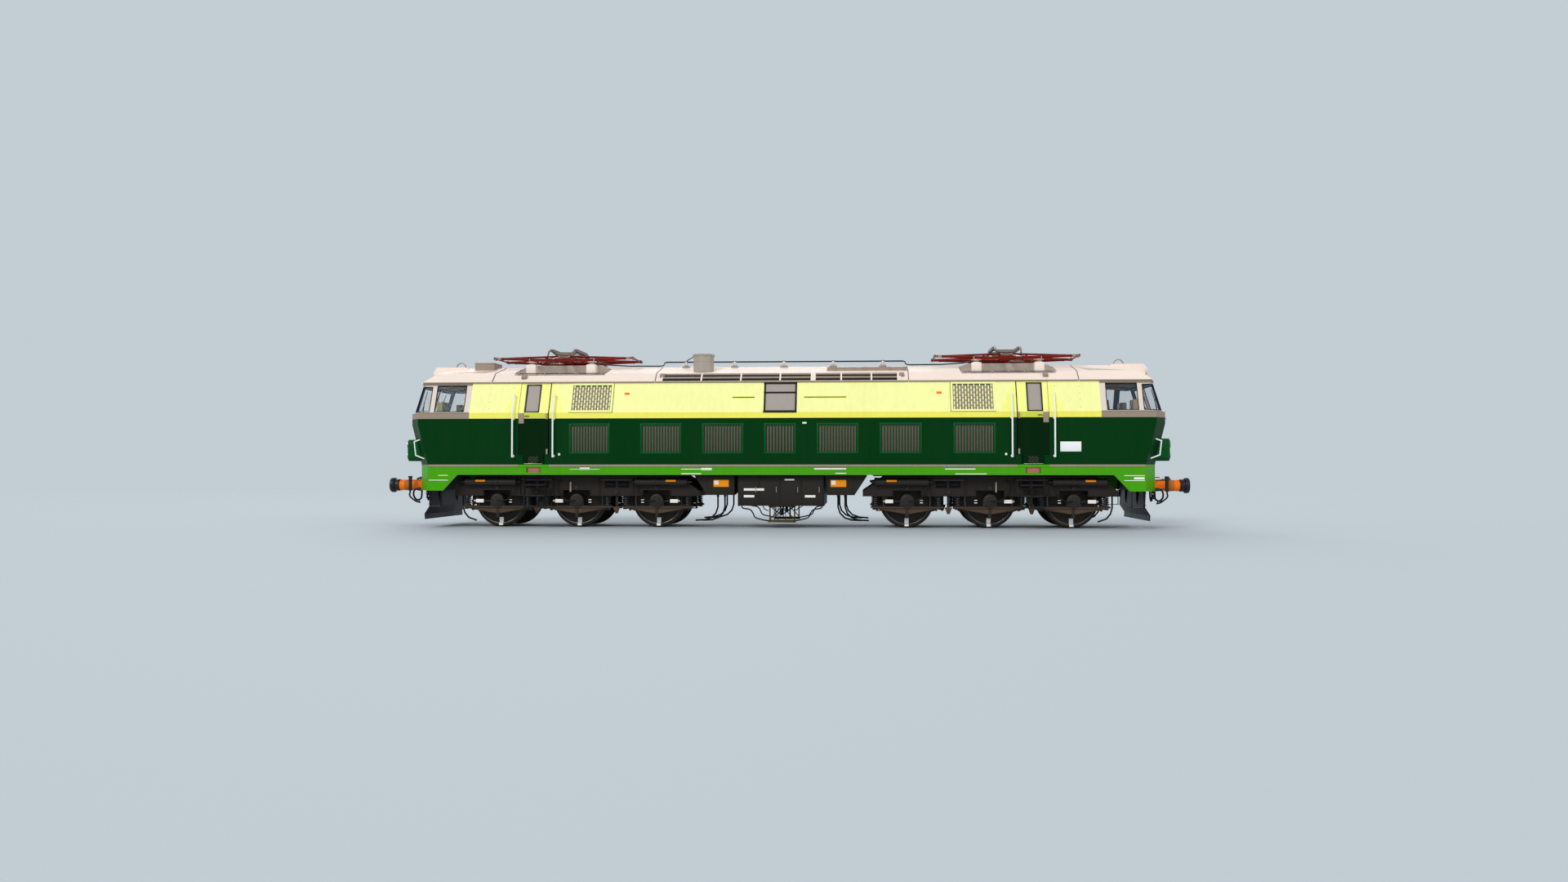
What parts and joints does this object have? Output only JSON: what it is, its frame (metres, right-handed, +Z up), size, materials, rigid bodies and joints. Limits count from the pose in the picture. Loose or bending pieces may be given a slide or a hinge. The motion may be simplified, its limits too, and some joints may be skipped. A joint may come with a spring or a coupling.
{
  "type": "electric locomotive",
  "caption": "Two-cab electric locomotive with three-axle bogies that turn, rolling wheelsets, inward-opening side doors and folding diamond pantographs.",
  "frame": {"origin": "middle of the locomotive at the bottom of the wheel flanges", "axes": "+X along the locomotive, +Y across it, +Z up"},
  "size_m": [19.24, 3.2138, 4.3715],
  "materials": {
    "frame_black": "satin",
    "light_green_paint": "satin",
    "dark_green_paint": "satin",
    "roof_cream_paint": "matt",
    "window_glass": "clear",
    "louvre_metal": "matt",
    "cab_lining": "matt",
    "desk_laminate": "matt",
    "seat_metal": "satin",
    "seat_fabric": "woven",
    "machine_grey": "matt",
    "buffer_orange": "satin",
    "cast_gear": "rough",
    "plough_navy": "satin",
    "hose_rubber": "matt",
    "rail_white": "gloss",
    "bogie_brown": "matt",
    "brushed_silver": "brushed",
    "pantograph_red": "satin",
    "spring_steel": "oiled",
    "wheel_steel": "worn",
    "collector_carbon": "worn"
  },
  "bodies": {
    "body": {"underframe": "frame_black", "side_skirts": "light_green_paint", "side_walls": "dark_green_paint", "cab_shells": "dark_green_paint", "cab_roofs": "roof_cream_paint", "pantograph_roofs": "roof_cream_paint", "middle_roof": "roof_cream_paint", "windows": "window_glass", "side_louvres": "louvre_metal", "cab_linings": "cab_lining", "driver_desks": "desk_laminate", "seat_frames": "seat_metal", "seat_cushions": "seat_fabric", "machine_block": "machine_grey", "headlamps": "dark_green_paint", "buffers": "buffer_orange", "draw_gear": "cast_gear", "snow_ploughs": "plough_navy", "brake_hoses": "hose_rubber", "handrails": "rail_white", "door_steps": "frame_black", "equipment_boxes": "bogie_brown", "sand_pipes": "bogie_brown", "magnet_frame": "bogie_brown", "roof_equipment": "brushed_silver", "pantograph_bases": "pantograph_red"},
    "cab_door_1": {"cab_door_1": "dark_green_paint"},
    "cab_door_2": {"cab_door_2": "dark_green_paint"},
    "cab_door_3": {"cab_door_3": "dark_green_paint"},
    "cab_door_4": {"cab_door_4": "dark_green_paint"},
    "bogie_1": {"bogie_frame_1": "bogie_brown", "axleboxes_1": "cast_gear", "coil_springs_1": "spring_steel", "traction_motors_1": "cast_gear", "brake_gear_1": "bogie_brown"},
    "bogie_2": {"bogie_frame_2": "bogie_brown", "axleboxes_2": "cast_gear", "coil_springs_2": "spring_steel", "traction_motors_2": "cast_gear", "brake_gear_2": "bogie_brown"},
    "wheelset_1": {"wheelset_1": "wheel_steel"},
    "wheelset_2": {"wheelset_2": "wheel_steel"},
    "wheelset_3": {"wheelset_3": "wheel_steel"},
    "wheelset_4": {"wheelset_4": "wheel_steel"},
    "wheelset_5": {"wheelset_5": "wheel_steel"},
    "wheelset_6": {"wheelset_6": "wheel_steel"},
    "lower_arm_1a": {"lower_arm_1a": "pantograph_red"},
    "lower_arm_1b": {"lower_arm_1b": "pantograph_red"},
    "upper_arm_1a": {"upper_arm_1a": "pantograph_red"},
    "upper_arm_1b": {"upper_arm_1b": "pantograph_red"},
    "pantograph_head_1": {"pantograph_head_1": "collector_carbon"},
    "lower_arm_2a": {"lower_arm_2a": "pantograph_red"},
    "lower_arm_2b": {"lower_arm_2b": "pantograph_red"},
    "upper_arm_2a": {"upper_arm_2a": "pantograph_red"},
    "upper_arm_2b": {"upper_arm_2b": "pantograph_red"},
    "pantograph_head_2": {"pantograph_head_2": "collector_carbon"}
  },
  "joints": [
    {"name": "cab_door_1_hinge", "type": "hinge", "parent": "body", "child": "cab_door_1", "pos_m": [-6.285, -1.15, 2.3], "axis": [0, 0, 1], "range_deg": [0, 85]},
    {"name": "cab_door_2_hinge", "type": "hinge", "parent": "body", "child": "cab_door_2", "pos_m": [6.285, -1.15, 2.3], "axis": [0, 0, -1], "range_deg": [0, 85]},
    {"name": "cab_door_3_hinge", "type": "hinge", "parent": "body", "child": "cab_door_3", "pos_m": [-6.285, 1.15, 2.3], "axis": [0, 0, -1], "range_deg": [0, 85]},
    {"name": "cab_door_4_hinge", "type": "hinge", "parent": "body", "child": "cab_door_4", "pos_m": [6.285, 1.15, 2.3], "axis": [0, 0, 1], "range_deg": [0, 85]},
    {"name": "bogie_1_pivot", "type": "hinge", "parent": "body", "child": "bogie_1", "pos_m": [-4.95, 0, 1.2], "axis": [0, 0, 1], "range_deg": [-3, 3]},
    {"name": "bogie_2_pivot", "type": "hinge", "parent": "body", "child": "bogie_2", "pos_m": [4.95, 0, 1.2], "axis": [0, 0, 1], "range_deg": [-3, 3]},
    {"name": "wheelset_1_spin", "type": "hinge", "parent": "bogie_1", "child": "wheelset_1", "pos_m": [-6.9, 0, 0.653], "axis": [0, 1, 0], "continuous": true},
    {"name": "wheelset_2_spin", "type": "hinge", "parent": "bogie_1", "child": "wheelset_2", "pos_m": [-4.95, 0, 0.653], "axis": [0, 1, 0], "continuous": true},
    {"name": "wheelset_3_spin", "type": "hinge", "parent": "bogie_1", "child": "wheelset_3", "pos_m": [-3, 0, 0.653], "axis": [0, 1, 0], "continuous": true},
    {"name": "wheelset_4_spin", "type": "hinge", "parent": "bogie_2", "child": "wheelset_4", "pos_m": [3, 0, 0.653], "axis": [0, 1, 0], "continuous": true},
    {"name": "wheelset_5_spin", "type": "hinge", "parent": "bogie_2", "child": "wheelset_5", "pos_m": [4.95, 0, 0.653], "axis": [0, 1, 0], "continuous": true},
    {"name": "wheelset_6_spin", "type": "hinge", "parent": "bogie_2", "child": "wheelset_6", "pos_m": [6.9, 0, 0.653], "axis": [0, 1, 0], "continuous": true},
    {"name": "pantograph_1_lower_a", "type": "hinge", "parent": "body", "child": "lower_arm_1a", "pos_m": [-5.3, 0, 4.085], "axis": [0, -1, 0], "range_deg": [0, 42]},
    {"name": "pantograph_1_lower_b", "type": "hinge", "parent": "body", "child": "lower_arm_1b", "pos_m": [-5.54, 0, 4.085], "axis": [0, 1, 0], "range_deg": [0, 42]},
    {"name": "pantograph_1_upper_a", "type": "hinge", "parent": "lower_arm_1a", "child": "upper_arm_1a", "pos_m": [-3.70098, 0, 4.14084], "axis": [0, 1, 0], "range_deg": [0, 84]},
    {"name": "pantograph_1_upper_b", "type": "hinge", "parent": "lower_arm_1b", "child": "upper_arm_1b", "pos_m": [-7.13903, 0, 4.14084], "axis": [0, -1, 0], "range_deg": [0, 84]},
    {"name": "pantograph_1_head", "type": "hinge", "parent": "upper_arm_1a", "child": "pantograph_head_1", "pos_m": [-5.3, 0, 4.19668], "axis": [0, -1, 0], "range_deg": [0, 42]},
    {"name": "pantograph_2_lower_a", "type": "hinge", "parent": "body", "child": "lower_arm_2a", "pos_m": [5.54, 0, 4.085], "axis": [0, -1, 0], "range_deg": [0, 42]},
    {"name": "pantograph_2_lower_b", "type": "hinge", "parent": "body", "child": "lower_arm_2b", "pos_m": [5.3, 0, 4.085], "axis": [0, 1, 0], "range_deg": [0, 42]},
    {"name": "pantograph_2_upper_a", "type": "hinge", "parent": "lower_arm_2a", "child": "upper_arm_2a", "pos_m": [7.13903, 0, 4.14084], "axis": [0, 1, 0], "range_deg": [0, 84]},
    {"name": "pantograph_2_upper_b", "type": "hinge", "parent": "lower_arm_2b", "child": "upper_arm_2b", "pos_m": [3.70098, 0, 4.14084], "axis": [0, -1, 0], "range_deg": [0, 84]},
    {"name": "pantograph_2_head", "type": "hinge", "parent": "upper_arm_2a", "child": "pantograph_head_2", "pos_m": [5.54, 0, 4.19668], "axis": [0, -1, 0], "range_deg": [0, 42]}
  ],
  "couplings": [
    {"joint": "pantograph_1_lower_b", "follows": "pantograph_1_lower_a", "ratio": 1},
    {"joint": "pantograph_1_upper_a", "follows": "pantograph_1_lower_a", "ratio": 2},
    {"joint": "pantograph_1_upper_b", "follows": "pantograph_1_lower_a", "ratio": 2},
    {"joint": "pantograph_1_head", "follows": "pantograph_1_lower_a", "ratio": 1},
    {"joint": "pantograph_2_lower_b", "follows": "pantograph_2_lower_a", "ratio": 1},
    {"joint": "pantograph_2_upper_a", "follows": "pantograph_2_lower_a", "ratio": 2},
    {"joint": "pantograph_2_upper_b", "follows": "pantograph_2_lower_a", "ratio": 2},
    {"joint": "pantograph_2_head", "follows": "pantograph_2_lower_a", "ratio": 1}
  ]
}
